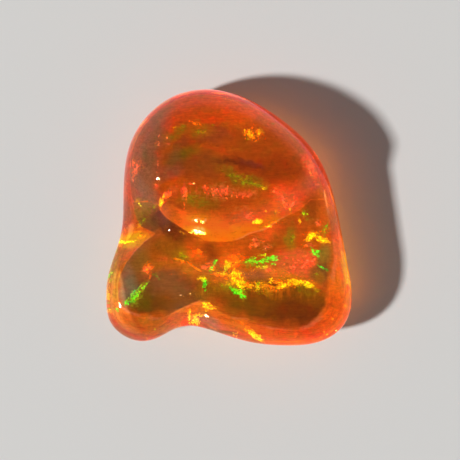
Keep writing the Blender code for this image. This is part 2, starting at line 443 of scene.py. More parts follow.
# Zones seen from above, laid over each other in turn: middle x, y, half size across and along,
# turn in degrees unless it is 0, softness of the edge unless it is the usual one, colour as a
# screen shows it, strength
ZONE_SOFTNESS = 0.6
GROUND_COLOUR = 0xBE5408
GROUND_ZONES = (
    # The orange band under the rounded end, and the brown window below it, whose darkness is
    # painted:
    # the dark ground seen through the stone
    (-0.6, 6.5, 4.8, 1.3, 0, 0.5, 0xCE4C06, 0.9), (0.3, 3.9, 4.3, 2.0, 0, 0.3, 0x924208, 0.95),
    (3.3, 2.9, 1.9, 0.85, -5, 0.5, 0x702C02, 0.8), (-2.0, 3.3, 1.7, 0.8, 0x764212, 0.8),
    (-3.35, 3.85, 0.6, 0.8, -20, 0.8, 0x585A2C, 0.8),
    (-2.3, 4.15, 0.75, 0.5, 10, 0.7, 0x646204, 0.85), (-3.0, 5.0, 0.6, 0.3, 0x803E1C, 0.6),
    (-1.0, 5.2, 0.8, 0.45, 0x7A3A1E, 0.7), (-4.0, 4.7, 0.35, 0.6, 0xB0540E, 0.8),
    (-3.4, 5.5, 0.7, 0.25, 10, 0x927006, 0.7), (-1.7, 5.4, 0.7, 0.35, -10, 0xA26E06, 0.7),
    (0.0, 5.7, 0.8, 0.25, 0x92540A, 0.6), (0.2, 4.35, 0.5, 0.15, -10, 0.7, 0xB0640A, 0.6),
    (-0.8, 4.4, 0.7, 0.15, 0xBA460E, 0.6), (0.5, 3.25, 1.3, 0.24, -8, 0.9, 0x381408, 0.85),
    (1.45, 3.3, 0.55, 0.16, -6, 0.8, 0x54282E, 0.6), (1.05, 2.3, 1.5, 0.3, -20, 0.7, 0x686806, 0.8),
    # Blue-grey haze and olive along the left side
    (-5.0, 4.3, 0.75, 2.6, -16, 0.5, 0x7E6248, 0.9), (-5.2, 3.6, 0.3, 0.5, 0, 0.7, 0x64603C, 0.6),
    (-4.0, 2.85, 0.9, 0.45, 0x745842, 0.7), (-5.1, 1.4, 0.65, 1.2, 5, 0x827054, 0.8),
    (-5.2, 0.2, 0.7, 0.8, 30, 0x9C9234, 0.7),
    # The dome's middle, between the window and the crescent
    (0.0, 1.1, 3.6, 0.9, 0, 0.5, 0xA64A0C, 0.8), (-1.8, 1.1, 1.2, 0.8, 0, 0.5, 0x865A04, 0.8),
    (-3.8, 1.35, 0.6, 0.3, 35, 0xD6541E, 0.8), (3.6, 1.3, 1.2, 0.8, 10, 0xE24216, 0.8),
    (3.45, 1.4, 0.6, 0.5, 0xFF542C, 0.8), (5.1, 3.3, 0.5, 0.6, 15, 0xFA441A, 0.9),
    (5.3, 2.2, 0.4, 0.3, 15, 0xAA322C, 0.6), (5.2, 0.5, 0.45, 1.0, 10, 0x6C3808, 0.8),
    # Below the crescent: a dark valley on the left, painted shade under the crescent's tip, brown
    # on the right, red between them
    (-3.5, -0.6, 1.6, 0.6, -36, 0.4, 0x4A2608, 0.95),
    (-4.9, -0.5, 0.7, 0.8, 0, 0.5, 0x48462A, 0.85), (-3.7, -1.8, 1.2, 0.7, 0x705008, 0.85),
    (-2.6, -2.1, 0.7, 0.3, 0xA48206, 0.6), (-2.0, -1.9, 0.6, 0.4, 0xBE5008, 0.7),
    (-1.1, -2.1, 0.6, 0.5, 0x502602, 0.8), (0.2, -1.9, 1.1, 0.7, 0xC05204, 0.8),
    (3.2, -0.9, 2.3, 0.75, 20, 0.4, 0xA05212, 0.9), (2.45, -0.9, 0.75, 0.4, 22, 0xFA6222, 0.85),
    (2.7, -1.8, 1.0, 0.4, 10, 0x8E4A08, 0.8), (3.95, -1.3, 0.28, 0.6, -8, 0x768214, 0.7),
    (4.1, -2.9, 1.2, 0.8, 0, 0.5, 0xDE5E32, 0.9), (6.0, -2.6, 0.5, 1.0, 0x46541E, 0.85),
    # The belt of fire across the shelf: soft colours, with dark gaps between them
    (-3.6, -2.9, 1.6, 0.45, 0x9C5A14, 0.8), (-3.4, -2.78, 0.9, 0.12, -8, 0xE2621E, 0.7),
    (-2.4, -3.3, 0.6, 0.4, 0xCC8822, 0.6), (-2.5, -3.0, 0.7, 0.1, -32, 0xE2621E, 0.7),
    (-5.0, -3.2, 0.45, 0.4, 0xCE6822, 0.8), (-3.2, -2.4, 0.6, 0.35, 0x806806, 0.7),
    (-2.0, -2.2, 0.5, 0.35, 0xEC6414, 0.85), (1.9, -3.8, 3.6, 0.65, 0, 0.5, 0xC07224, 0.8),
    (-0.9, -3.1, 0.8, 0.55, 0x965C2C, 0.7), (0.45, -2.65, 0.75, 0.65, 0, 0.5, 0xFF6618, 0.9),
    (0.6, -4.0, 0.45, 0.55, 0xDE960E, 0.8), (1.8, -3.65, 0.75, 0.42, 0x965A3E, 0.85),
    (2.5, -3.35, 0.35, 0.28, 0xFF8034, 0.8), (4.3, -3.0, 1.05, 0.75, 0, 0.5, 0xFF6644, 0.9),
    (3.15, -3.6, 0.5, 0.26, 0xFF8430, 0.8), (1.02, -3.9, 0.32, 0.3, 0xF29214, 0.8),
    (4.2, -4.1, 1.4, 0.28, -4, 0xDE8C0E, 0.85), (5.9, -3.5, 0.45, 0.9, 0, 0.5, 0x584C26, 0.85),
    (5.7, -3.9, 0.35, 0.3, 0x907414, 0.8), (5.35, -3.55, 0.26, 0.5, -10, 0x70582A, 0.8),
    (6.0, -2.3, 0.45, 0.5, 0x7E7A2C, 0.8), (-0.3, -4.2, 0.5, 0.3, 0x967A06, 0.85),
    # The lobe's olive side, its grey haze and the two dark windows, whose darkness is painted: the
    # dark ground seen through the stone
    (-5.9, -2.9, 0.7, 1.4, -35, 0.5, 0x706222, 0.9),
    (-6.3, -3.5, 0.25, 0.6, -20, 0.7, 0xAC7054, 0.6),
    (-3.9, -4.8, 2.7, 1.25, 6, 0.22, 0x523808, 0.95), (-3.9, -4.1, 1.5, 0.7, 0x76523A, 0.75),
    (-5.6, -3.9, 0.8, 0.9, 0, 0.7, 0x7C562C, 0.7), (-6.4, -4.3, 0.5, 1.1, -8, 0x6E8068, 0.8),
    (-5.4, -5.3, 0.7, 0.6, 0x5A5400, 0.7), (-1.2, -4.7, 0.8, 0.6, 0x685604, 0.8),
    (2.9, -5.3, 3.6, 1.3, -6, 0.18, 0x583C00, 0.95), (3.9, -6.1, 1.9, 0.7, 4, 0x4A1C00, 0.8),
)

# The rim's colours: the stone's orange, brightened as painted light of the glow through the rim
RIM_COLOUR = 0xF67616
RIM_ZONES = (
    (0.0, 8.0, 7.0, 3.2, 0, 0.5, 0xC81800, 0.95), (5.9, 4.0, 1.8, 3.2, 25, 0.5, 0xBE2000, 0.9),
    (6.9, -0.5, 1.0, 1.5, 0xA04608, 0.9), (6.8, -2.2, 0.5, 1.1, -8, 0xCE5C14, 0.7),
    (6.3, -0.8, 0.4, 0.9, -8, 0x8C5E2E, 0.7), (6.7, -5.8, 0.7, 0.9, 0xD25404, 0.7),
    (-6.6, 2.6, 1.2, 2.2, 0, 0.5, 0xDC480E, 0.9), (-6.7, 0.2, 0.9, 0.9, 0, 0.5, 0xAC5430, 0.9),
    # Next, a painted highlight: the yellow streak on the saddle by the left notch
    (-6.4, -1.5, 1.3, 0.5, 4, 0.5, 0xFFD20A, 0.9), (-6.9, -2.6, 0.8, 0.6, 0xBE6E06, 0.9),
    (-7.4, -4.3, 0.7, 1.4, 0, 0.5, 0xB28824, 0.9), (-7.2, -6.0, 0.6, 0.6, 0xD87832, 0.8),
    (-5.0, -7.0, 2.2, 1.0, 0, 0.5, 0xCE7418, 0.9), (-6.2, -6.5, 0.85, 0.3, -48, 0.5, 0xB0460C, 0.8),
    (-6.3, -7.2, 1.7, 0.35, -30, 0xA06242, 0.8), (-4.2, -7.6, 1.0, 0.25, 20, 0x86421E, 0.7),
    (-2.9, -6.3, 1.2, 0.6, 30, 0.5, 0xDE6A0A, 0.8), (-1.2, -5.85, 0.9, 0.25, -10, 0xFA7C22, 0.8),
    (-1.2, -6.45, 1.1, 0.3, -15, 0xB27E64, 0.8), (-0.6, -7.05, 1.3, 0.16, -19, 0x786428, 0.85),
    (0.3, -6.8, 0.8, 0.3, -20, 0xFC7A22, 0.8), (1.3, -7.0, 0.8, 0.35, -16, 0xFF8E10, 0.8),
    (2.9, -6.95, 1.7, 0.4, -8, 0xFA541A, 0.7), (5.3, -6.9, 1.0, 0.6, 20, 0xE84610, 0.7),
)

CRESCENT_COLOUR = 0xFC7A12
CRESCENT_ZONES = (
    (-0.2, -1.1, 2.6, 0.5, 4, 0xFF8A10, 0.9), (1.4, 0.3, 1.5, 0.6, 10, 0xE64C14, 0.8),
    (1.15, 0.2, 0.55, 0.45, 0xFF5828, 0.8), (3.0, 0.0, 1.5, 0.4, 30, 0xF67C0C, 0.8),
    (3.9, 0.75, 0.9, 0.45, 30, 0xFF542C, 0.9), (-3.6, 0.3, 0.9, 0.5, -20, 0xBE5E06, 0.9),
    # Painted highlights from here on: a yellow glow and white cores where the lamp glints in the
    # crescent
    (-1.83, -0.02, 0.5, 0.32, 0xFFA80C, 0.9), (-1.87, -0.88, 0.55, 0.24, -12, 0xFFBA10, 0.9),
    (-1.87, -0.88, 0.24, 0.09, -12, 0xFFF096, 0.9), (-2.04, -0.12, 0.11, 0.09, 0xFFF096, 0.9),
    (-1.62, -0.17, 0.11, 0.09, 0xFFF096, 0.9),
)

# The crescent's crisp lower edge, from left to right, how it sets in there, and how far up it fades
# out
CRESCENT_EDGE = (
    (-4.5, 0.95), (-4.3, 0.45), (-3.95, 0.02), (-3.35, -0.4),
    (-2.6, -0.89), (-2.25, -1.06), (-1.4, -1.46), (-0.3, -1.53),
    (0.7, -1.36), (1.3, -1.05), (2.3, -0.75), (3.3, -0.1),
    (4.5, 0.5), (5.2, 1.1),
)
CRESCENT_ONSET = (-0.03, 0.08)
CRESCENT_WIDTHS = (
    (-4.4, 0.001), (-4.25, 0.42), (-4.05, 0.68), (-3.7, 1.03),
    (-3.2, 1.22), (-2.5, 1.55), (-0.5, 1.9), (2.4, 1.6),
    (4.4, 0.6), (4.9, 0.001),
)

# How soft its upper edge is, as a share of its width, from left to right
CRESCENT_FADES = ((-3.6, 0.06), (-2.0, 0.45))

# How much of the zones' own looseness the crescent's edges take on
CRESCENT_LOOSENESS = 0.4

# A thin dark line round the crescent's left tip: where it begins, is full and ends as shares of the
# crescent's width, and where it sets in along x
CRESCENT_LINE = 0x6E320A
CRESCENT_LINE_STRENGTH = 0.3
CRESCENT_LINE_SPAN = (0.85, 1.0, 1.1, 1.25)
CRESCENT_LINE_ENDS = (-2.2, -3.0)

# A painted highlight: a bright line on the right just over the crescent's lower edge. Where it
# begins, is full and ends along x, between which heights it sets in, and how far over the edge it
# fades out
GLINT_COLOUR = 0xFFA064
GLINT_STRENGTH = 0.6
GLINT_SPAN = (0.2, 0.9, 3.2, 3.9)
GLINT_HEIGHTS = (2.5, 3.5)
GLINT_RISE = (0.17, 0.05)

# Upright streaks, soft ones that hang from the belt of fire and fine ones in the dome's middle
HANGING_ZONES = (
    (2.6, -4.75, 3.0, 0.55, -5, 0xB86A04, 0.7), (0.9, -4.9, 0.6, 0.6, 0x686E04, 0.8),
    (4.9, -4.6, 0.8, 0.5, 0x706E08, 0.8), (3.7, -4.6, 0.7, 0.4, 0xCE6808, 0.8),
    (-1.6, -4.5, 1.2, 0.6, 0x8C6C0A, 0.7),
)
DASH_ZONES = (
    (-0.5, 1.65, 2.6, 0.6, 0xD64A22, 0.65), (-2.9, 1.65, 0.3, 0.5, 0xEE5436, 0.9),
)

# The underside and the walls below the girdle, darker under the windows as painted darkness of the
# dark ground seen through the stone
UNDER_COLOUR = 0xD65410
UNDER_ZONES = (
    (0.3, 3.0, 4.6, 3.2, 10, 0.3, 0xAC4C12, 0.9), (-1.4, 4.2, 1.8, 0.9, -20, 0x926814, 0.7),
    (2.6, -4.4, 3.4, 1.9, -8, 0.25, 0x92480A, 0.9), (-4.2, -4.2, 2.0, 1.6, 0, 0.4, 0x8E581A, 0.85),
    (1.0, -0.8, 4.2, 0.6, 12, 0.5, 0xF0681E, 0.8), (-3.6, 0.6, 1.8, 0.5, -35, 0.5, 0xE25C24, 0.8),
    (4.2, 0.6, 1.0, 0.8, 0x806E28, 0.7),
)

# Noise that loosens the zones, coarse and then fine: its fineness, and how far it pushes them
ZONE_PUSHES = ((0.7, 0.45), (2.6, 0.16))

# The heights between which the underside's colours give way to the upper side's
UPPER_HEIGHTS = (1.4, 2.8)

# Painted glow: the stone glows by emission with a share of the zone's colour, standing in for light
# that its haze gives back, and how much of that is left on the underside
PAINTED_GLOW = 0.34
PAINTED_GLOW_UNDER = 0.35

# How the light that passes is tinted by the flat patch and by the walls over it, and the heights
# between which one gives way to the other
FLAT_TINT = 0xFFE8CD
WALL_TINT = 0xF2A050
WALL_HEIGHTS = (0.0, 0.6)

BODY_ROUGHNESS = 0.03
BODY_IOR = 1.44
ABSORPTION_COLOUR = (1.0, 0.88, 0.3, 1.0)
ABSORPTION_PER_MM = 0.15

# The stone's fire, as flakes that glow by emission, painted light for the play of colour. Each
# patch
# of flakes: middle x, y, half size across and along, turn in degrees, a count that is made denser
# below, and the flakes' length
GREEN_FIRE = (
    (1.4, -2.7, 0.3, 0.16, 0, 34, 0.26), (2.0, -2.72, 0.4, 0.1, 0, 16, 0.24),
    (2.62, -2.6, 0.38, 0.17, 6, 50, 0.28), (0.5, -4.62, 0.4, 0.17, -26, 60, 0.26),
    (0.9, -4.85, 0.3, 0.08, -26, 12, 0.24), (-1.54, -4.12, 0.22, 0.08, 88, 28, 0.2),
    (5.36, -2.15, 0.3, 0.16, -48, 30, 0.26), (5.9, -3.15, 0.36, 0.06, -30, 10, 0.24),
    (-5.95, -5.1, 0.45, 0.26, 50, 24, 0.22), (-6.45, -5.35, 0.18, 0.12, 30, 10, 0.2),
    (-5.3, -4.4, 0.45, 0.12, 46, 8, 0.2), (-4.5, -3.8, 0.14, 0.1, 0, 4, 0.18),
    (-0.82, -2.78, 0.16, 0.12, 60, 14, 0.2), (-1.12, -3.1, 0.2, 0.12, 30, 14, 0.2),
    (6.05, -0.75, 0.4, 0.1, 90, 5, 0.2), (-7.0, -5.75, 0.16, 0.12, -30, 20, 0.12),
)
OLIVE_FIRE = (
    (0.95, 2.44, 1.1, 0.2, -20, 40, 0.28), (1.35, 2.2, 0.4, 0.14, -20, 16, 0.26),
    (-1.75, 5.35, 0.4, 0.18, -15, 14, 0.2), (-3.45, 5.5, 0.5, 0.18, 15, 12, 0.2),
    (1.12, 4.95, 0.16, 0.06, 80, 8, 0.18), (-1.0, 5.72, 0.12, 0.1, 0, 3, 0.18),
    (-1.9, 1.1, 0.5, 0.4, 0, 9, 0.22), (-5.35, -0.15, 0.65, 0.2, 52, 18, 0.26),
    (-4.6, 0.6, 0.3, 0.25, 40, 8, 0.22), (3.95, -1.3, 0.55, 0.14, 82, 12, 0.24),
    (-2.8, -2.4, 0.5, 0.2, 0, 12, 0.24), (-0.25, -4.12, 0.45, 0.08, 0, 16, 0.22),
    (2.3, -4.6, 0.24, 0.5, 90, 12, 0.2), (6.0, -1.0, 0.6, 0.2, 80, 8, 0.22),
    (2.6, 5.85, 0.1, 0.1, 0, 3, 0.18), (3.0, 0.42, 0.22, 0.14, 0, 6, 0.2),
    (5.5, -3.5, 0.25, 0.1, 0, 8, 0.22), (5.45, -4.52, 0.24, 0.08, -35, 8, 0.22),
    (4.4, -4.6, 0.3, 0.12, 90, 6, 0.24),
)
LIME_FIRE = (
    (2.14, -3.08, 0.3, 0.11, 0, 20, 0.22), (-0.12, -3.0, 0.26, 0.16, 60, 44, 0.22),
    (-7.28, -3.6, 0.45, 0.07, 90, 8, 0.2), (-4.66, -7.03, 0.14, 0.1, 0, 3, 0.16),
    (0.45, -4.5, 0.35, 0.12, -26, 14, 0.24), (-1.56, -3.88, 0.16, 0.1, 0, 22, 0.2),
    (1.85, -4.26, 0.28, 0.11, 80, 24, 0.22), (4.85, 0.2, 0.3, 0.18, 110, 4, 0.2),
    (-5.85, -4.9, 0.5, 0.24, 54, 44, 0.22), (-5.35, -4.35, 0.4, 0.12, 50, 10, 0.2),
    (0.72, -4.15, 0.22, 0.16, 0, 16, 0.2), (2.1, -2.35, 0.3, 0.1, 0, 6, 0.2),
    (-0.5, -3.4, 0.8, 0.5, 0, 22, 0.12), (0.2, -4.3, 0.8, 0.2, 0, 14, 0.12),
)
GOLD_FIRE = (
    (-4.2, 1.02, 0.34, 0.11, 74, 44, 0.24), (1.3, 5.24, 0.28, 0.2, 85, 20, 0.24),
    (1.75, 5.35, 0.2, 0.22, 100, 8, 0.22), (2.14, 1.88, 0.14, 0.08, 0, 6, 0.16),
    (2.35, 0.5, 0.07, 0.07, 0, 4, 0.14), (3.83, 0.58, 0.16, 0.1, 90, 6, 0.16),
    (1.8, -0.18, 0.22, 0.15, 0, 60, 0.24), (2.52, -0.5, 0.26, 0.07, -10, 9, 0.2),
    (4.45, -0.2, 0.22, 0.07, 98, 8, 0.18), (5.08, -1.26, 0.32, 0.15, 30, 44, 0.26),
    (5.8, -1.38, 0.36, 0.14, -28, 44, 0.26), (-6.25, -1.53, 0.46, 0.09, 2, 20, 0.3),
    (0.45, -3.72, 0.3, 0.26, 70, 44, 0.24), (0.72, -4.12, 0.3, 0.26, 90, 36, 0.24),
    (1.2, -4.28, 0.3, 0.2, 0, 14, 0.24), (-0.14, -2.8, 0.22, 0.1, 70, 6, 0.18),
    (-0.45, -3.45, 0.45, 0.1, -15, 14, 0.2), (2.77, -3.95, 0.2, 0.12, 0, 10, 0.2),
    (2.1, -4.4, 0.3, 0.6, 90, 10, 0.18), (-0.6, -3.9, 0.9, 0.3, 0, 20, 0.11),
    (1.2, -3.3, 1.1, 0.4, 0, 16, 0.12), (3.4, -4.26, 0.42, 0.2, 0, 44, 0.26),
    (4.27, -4.08, 0.46, 0.16, -8, 44, 0.26), (4.98, -4.16, 0.32, 0.18, -20, 28, 0.26),
    (-1.62, -3.78, 0.22, 0.08, 0, 28, 0.2), (-2.48, -6.1, 0.36, 0.08, 90, 26, 0.26),
    (-2.05, -6.42, 0.24, 0.26, 88, 46, 0.24), (-1.85, -6.08, 0.26, 0.12, 20, 16, 0.22),
    (-1.3, -5.52, 0.4, 0.19, -15, 34, 0.24), (1.72, -7.36, 0.4, 0.11, -38, 110, 0.22),
    (0.6, -7.15, 0.26, 0.16, 90, 8, 0.2), (6.5, -6.25, 0.12, 0.1, 30, 5, 0.16),
    (5.95, -7.15, 0.1, 0.1, 0, 4, 0.14), (-5.56, 0.95, 0.16, 0.14, 0, 5, 0.16),
    (7.45, -4.23, 0.5, 0.05, 90, 5, 0.18), (-2.8, -0.95, 0.14, 0.06, -30, 3, 0.16),
    (-5.05, -3.15, 0.16, 0.1, 60, 4, 0.18),
)
ORANGE_FIRE = (
    (-3.85, 1.3, 0.4, 0.16, 35, 12, 0.24), (-2.15, 5.85, 0.3, 0.14, -15, 10, 0.22),
    (1.55, 5.2, 0.34, 0.4, 90, 26, 0.24), (2.2, -4.4, 0.35, 0.8, 90, 16, 0.24),
    (0.35, -3.5, 0.4, 0.4, 0, 12, 0.24), (1.3, -4.2, 0.3, 0.2, 0, 12, 0.24),
    (3.6, -4.1, 1.0, 0.22, 0, 34, 0.22), (-1.1, -3.2, 0.5, 0.3, 0, 10, 0.22),
    (-0.9, -3.2, 1.0, 0.45, 0, 24, 0.11), (1.6, -3.9, 1.2, 0.45, 0, 12, 0.12),
    (-2.3, -3.45, 1.2, 0.14, 0, 14, 0.1), (-2.9, -2.72, 0.75, 0.05, -18, 14, 0.28),
    (-2.2, -3.05, 0.55, 0.05, -32, 10, 0.28), (-5.35, -1.15, 0.45, 0.2, 20, 10, 0.28),
    (-5.1, -3.1, 0.34, 0.26, 60, 22, 0.24), (-4.85, -3.7, 0.26, 0.1, 80, 12, 0.22),
    (0.4, -2.6, 0.6, 0.5, 0, 22, 0.28), (-0.3, -3.6, 0.5, 0.14, -10, 16, 0.22),
    (-2.0, -2.15, 0.35, 0.24, 0, 12, 0.26), (2.9, -0.3, 0.6, 0.12, 15, 8, 0.24),
    (-2.2, -6.3, 0.5, 0.3, 10, 12, 0.24), (1.3, -6.9, 0.5, 0.22, -20, 12, 0.24),
    (5.4, -0.95, 0.45, 0.12, 0, 8, 0.24),
)
CORAL_FIRE = (
    (-5.88, 3.03, 0.5, 0.22, 85, 20, 0.28), (-4.33, 5.02, 0.24, 0.1, 90, 5, 0.18),
    (-3.88, 5.03, 0.16, 0.07, 95, 6, 0.18), (-4.42, 3.3, 0.8, 0.06, 90, 9, 0.14),
    (-4.5, 2.1, 0.22, 0.16, 80, 6, 0.18), (-2.72, 1.55, 0.5, 0.1, 90, 18, 0.26),
    (-2.3, 2.15, 0.24, 0.08, 0, 6, 0.2), (-1.4, 1.9, 0.2, 0.16, 90, 9, 0.22),
    (-0.3, 1.68, 0.32, 0.9, 90, 20, 0.24), (0.95, 1.58, 0.22, 0.5, 90, 8, 0.2),
    (3.5, 1.05, 0.4, 0.06, -48, 10, 0.24), (3.25, 1.35, 0.45, 0.32, -20, 12, 0.26),
    (3.8, 0.9, 0.5, 0.22, 20, 12, 0.24), (5.15, 3.2, 0.36, 0.32, 0, 12, 0.26),
    (5.45, 2.25, 0.2, 0.1, 20, 5, 0.2), (5.57, -0.3, 0.18, 0.18, 0, 9, 0.2),
    (1.54, -1.6, 0.22, 0.22, 0, 14, 0.24), (2.3, -1.75, 0.4, 0.2, 0, 6, 0.2),
    (4.95, -1.75, 0.3, 0.14, 0, 8, 0.22), (4.3, -3.0, 0.9, 0.5, 0, 20, 0.28),
    (4.85, -2.95, 0.3, 0.24, 0, 8, 0.26), (2.5, -3.35, 0.26, 0.2, 0, 8, 0.24),
    (-4.95, -3.15, 0.4, 0.2, 10, 14, 0.26), (-3.8, 1.45, 0.4, 0.2, 45, 16, 0.26),
    (1.15, 0.24, 0.55, 0.35, 0, 8, 0.26), (4.23, -7.25, 0.14, 0.1, 0, 4, 0.18),
    (-1.55, -3.1, 0.3, 0.11, 0, 14, 0.22), (-1.25, -2.9, 0.22, 0.1, 0, 10, 0.2),
    (-1.0, -2.9, 0.8, 0.4, 0, 16, 0.12), (3.2, -3.4, 1.2, 0.4, 0, 20, 0.14),
)
# Pale flakes are painted highlights: glowing flakes where the lamp glints
PAINTED_GLINT_FLAKES = (
    (-2.04, -0.12, 0.1, 0.07, 0, 8, 0.16), (-1.62, -0.17, 0.1, 0.07, 0, 8, 0.16),
    (-1.87, -0.86, 0.32, 0.1, -12, 40, 0.2), (-4.36, 2.42, 0.1, 0.05, 90, 6, 0.13),
    (-2.2, 2.18, 0.07, 0.06, 0, 4, 0.13), (-1.42, -6.05, 0.22, 0.05, -35, 8, 0.2),
    (-6.78, -5.42, 0.07, 0.14, 0, 5, 0.12), (-2.98, -4.86, 0.12, 0.03, 8, 3, 0.13),
    (-2.42, -4.72, 0.04, 0.04, 0, 2, 0.12), (2.27, -1.94, 0.05, 0.05, 0, 2, 0.12),
    (6.72, -7.05, 0.06, 0.05, 0, 2, 0.12),
)
FIRES = {
    "green": GREEN_FIRE,
    "olive": OLIVE_FIRE,
    "lime": LIME_FIRE,
    "gold": GOLD_FIRE,
    "orange": ORANGE_FIRE,
    "coral": CORAL_FIRE,
    "pale": PAINTED_GLINT_FLAKES,
}

# The dimmest and the brightest flake of each family, and how strongly the brightest shines by
# emission, a painted glow
FIRE_LIGHTS = {
    "green": (0x508C1A, 0x48EC54, 4.2),
    "olive": (0x7A680C, 0xACB216, 1.8),
    "lime": (0x8C8C0A, 0xA8E23C, 3.8),
    "gold": (0xDA8E14, 0xE8E83C, 3.6),
    "orange": (0xD25C0E, 0xFFA028, 2.4),
    "coral": (0xDE6438, 0xFA9474, 2.2),
    # Pale flakes shine brightest, as painted highlights
    "pale": (0xFFDC78, 0xFFFFFF, 14.0),
}

# How fine the noise across a flake is, the sums of its spark and that noise at which it is dimmest
# and brightest, and how its light follows the spark and the noise
FLAKE_FINENESS = 9.0
SPARK_SPAN = (0.5, 1.3)
SPARK_POWER = 1.5
SPARK_LIGHT = (0.2, 1.0)
UNEVEN_LIGHT = 1.6
FLAKE_ROUGHNESS = 0.25

FLAKE_SEED = 7

# Flakes for each one counted above, places tried for each, how deep under the upper side each lies,
# and how far its end stays from the surface
FLAKE_DENSITY = 2.4
FLAKE_TRIES = 8
FLAKE_DEPTHS = (0.12, 0.7)
FLAKE_CLEARANCE = 0.03

# A flake's corners, how unevenly they are set, their reach, its width and its length as shares,
# its half thickness, its lean in radians and how far it turns off in degrees
FLAKE_CORNERS = (5, 8)
FLAKE_UNEVENNESS = 0.3
FLAKE_REACHES = (0.65, 1.0)
FLAKE_WIDTHS = (0.15, 0.5)
FLAKE_LENGTHS = (0.3, 1.05)
FLAKE_HALF_THICKNESS = 0.016
FLAKE_LEAN = 0.35
FLAKE_TURN_SPREAD = 25

# Flakes lie in clumps: how many in each, how far the clumps and the flakes in them spread in the
# patch, how bright each clump is, and how much of a flake's spark that settles
CLUMP = 6
CLUMP_SCATTER = 0.55
CLUMP_SPREAD = 0.28
CLUMP_SHINES = (0.25, 1)
CLUMP_SHARE = 0.45

# Round each patch the stone itself takes on some of its colour, but not where flakes are this small
DUST = 0.15
HALO_REACH = 1.5
HALO_SOFTNESS = 0.85
HALOS = {
    "green": (0x64A41E, 1.0),
    "olive": (0x787406, 0.8),
    "lime": (0x96960E, 0.9),
    "gold": (0xECAC10, 1.0),
    "orange": (0xE86E0E, 0.7),
    "coral": (0xE66236, 1.0),
}


def spot(x, y, at_x, at_y, across, along, turn=0, softness=ZONE_SOFTNESS):
    """1 inside an ellipse seen from above, and 0 outside it."""
    cosine, sine = math.cos(math.radians(turn)), math.sin(math.radians(turn))
    off_x, off_y = x - at_x, y - at_y
    run_across = (off_x * cosine + off_y * sine) / across
    run_along = (off_y * cosine - off_x * sine) / along
    return smooth_step(np.hypot(run_across, run_along), 1 + softness, 1 - softness)


def painted(places, first, zones):
    """The colour of each place, from a first colour and zones laid over it in turn."""
    tints = np.tile(colour(first), (len(places), 1))
    for *shape, shown, strength in zones:
        amount = strength * spot(places[:, 0], places[:, 1], *shape)[:, None]
        tints = tints * (1 - amount) + np.array(colour(shown)) * amount
    return tints


def layer(places, zones):
    """The zones' colours, with how strongly they show at each place as alpha."""
    x, y = places[:, 0], places[:, 1]
    tints = painted(places, zones[0][-2], zones)
    tints[:, 3] = np.max([strength * spot(x, y, *shape) for *shape, _, strength in zones], axis=0)
    return tints


def window(values, low, low_full, high_full, high):
    """1 from low_full to high_full, eased down to 0 at low and at high."""
    return smooth_step(values, low, low_full) * smooth_step(values, high, high_full)


def eased(values, table):
    """A smooth curve through a table of places and heights, level beyond its ends."""
    places, heights = np.array(table, dtype=float).T
    steps = np.diff(heights) / np.diff(places)
    slopes = np.concatenate([[0], (steps[:-1] + steps[1:]) / 2, [0]])
    values = np.clip(values, places[0], places[-1])
    i = np.clip(np.searchsorted(places, values) - 1, 0, len(steps) - 1)
    span = np.diff(places)[i]
    t = (values - places[i]) / span
    start, end = heights[i], heights[i + 1]
    bend = (1 - t) ** 2 * t * span * slopes[i] - t * t * (1 - t) * span * slopes[i + 1]
    return start + (end - start) * t * t * (3 - 2 * t) + bend


def pushed(places, scale, amount):
    """The same places, pushed about by smooth noise."""
    pushes = [noise_vector(Vector(place) * scale) for place in places]
    return places + amount * np.array(pushes)


def outline_distance(places):
    """How far each place lies from the outline, seen from above."""
    outline = even_outline(AROUND)
    tree = KDTree(len(outline))
    for i, (x, y) in enumerate(outline):
        tree.insert((x, y, 0), i)
    tree.balance()
    return np.array([tree.find((x, y, 0))[2] for x, y in places[:, :2]])


def add_attribute(mesh, name, values):
    """Numbers on a mesh's points, or colours with how strongly each shows."""
    if values.ndim == 1:
        attribute = mesh.attributes.new(name, "FLOAT", "POINT")
        attribute.data.foreach_set("value", values.astype(np.float32))
    else:
        attribute = mesh.attributes.new(name, "FLOAT_VECTOR", "POINT")
        attribute.data.foreach_set("vector", values[:, :3].astype(np.float32).ravel())
        add_attribute(mesh, f"{name}_strength", values[:, 3])


def mesh_places(mesh):
    """The places of a mesh's points, in millimetres."""
    places = np.empty(len(mesh.vertices) * 3)
    mesh.vertices.foreach_get("co", places)
    return places.reshape(-1, 3) / MM


def as_seen(places):
    """The same places, moved to where the camera sees them on the girdle's plane."""
    camera = np.array(CAMERA_PLACE[:2])
    nearer = CAMERA_RISE / (CAMERA_RISE + GIRDLE_HEIGHT - places[:, 2:])
    return np.hstack([camera + (places[:, :2] - camera) * nearer, places[:, 2:]])


def rim_share(places, way):
    """1 on the rim's inner edge and less within the rim, with the edge's softness as the unit."""
    turns = np.degrees(np.arctan2(places[:, 1], places[:, 0]))
    table = np.array(RIM_WIDTHS, dtype=float)
    wrapped = np.vstack([table[-2:] - (360, 0), table, table[:2] + (360, 0)])
    return 1 + (way / eased(turns, wrapped) - 1) / eased(turns, RIM_EDGES)


